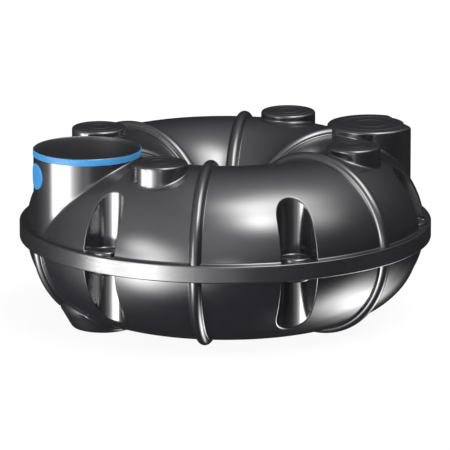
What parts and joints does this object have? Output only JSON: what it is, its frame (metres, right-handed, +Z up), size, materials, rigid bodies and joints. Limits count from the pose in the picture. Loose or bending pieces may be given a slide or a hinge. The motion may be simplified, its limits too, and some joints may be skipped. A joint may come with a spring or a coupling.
{
  "type": "ring-shaped cesspit tank",
  "caption": "Low ring-shaped cesspit tank of black moulded plastic with ribs, upright flutes, an open access turret with a blue rim seal, a closed turret and small domes.",
  "frame": {"origin": "on the ground under the ring's upright axis", "axes": "+Z up, +X towards the closed turret, -X towards the open turret"},
  "size_m": [2.5, 2.4998, 1.12],
  "materials": {
    "moulded": "gloss",
    "blue": "gloss"
  },
  "bodies": {
    "root": {"upper_bay_1": "moulded", "upper_bay_2": "moulded", "upper_bay_3": "moulded", "upper_bay_4": "moulded", "upper_bay_5": "moulded", "upper_bay_6": "moulded", "lower_bay_1": "moulded", "lower_bay_2": "moulded", "lower_bay_3": "moulded", "lower_bay_4": "moulded", "lower_bay_5": "moulded", "lower_bay_6": "moulded", "upper_rib_1": "moulded", "upper_rib_2": "moulded", "upper_rib_3": "moulded", "upper_rib_4": "moulded", "upper_rib_5": "moulded", "upper_rib_6": "moulded", "lower_rib_1": "moulded", "lower_rib_2": "moulded", "lower_rib_3": "moulded", "lower_rib_4": "moulded", "lower_rib_5": "moulded", "lower_rib_6": "moulded", "joint_band_1": "moulded", "joint_band_2": "moulded", "joint_band_3": "moulded", "joint_band_4": "moulded", "joint_band_5": "moulded", "joint_band_6": "moulded", "open_turret": "moulded", "closed_turret": "moulded", "dome_1": "moulded", "dome_2": "moulded", "dome_3": "moulded", "dome_4": "moulded", "sump_open_side": "moulded", "sump_closed_side": "moulded", "rim_seal": "blue", "inlet_cover": "blue"}
  },
  "joints": []
}
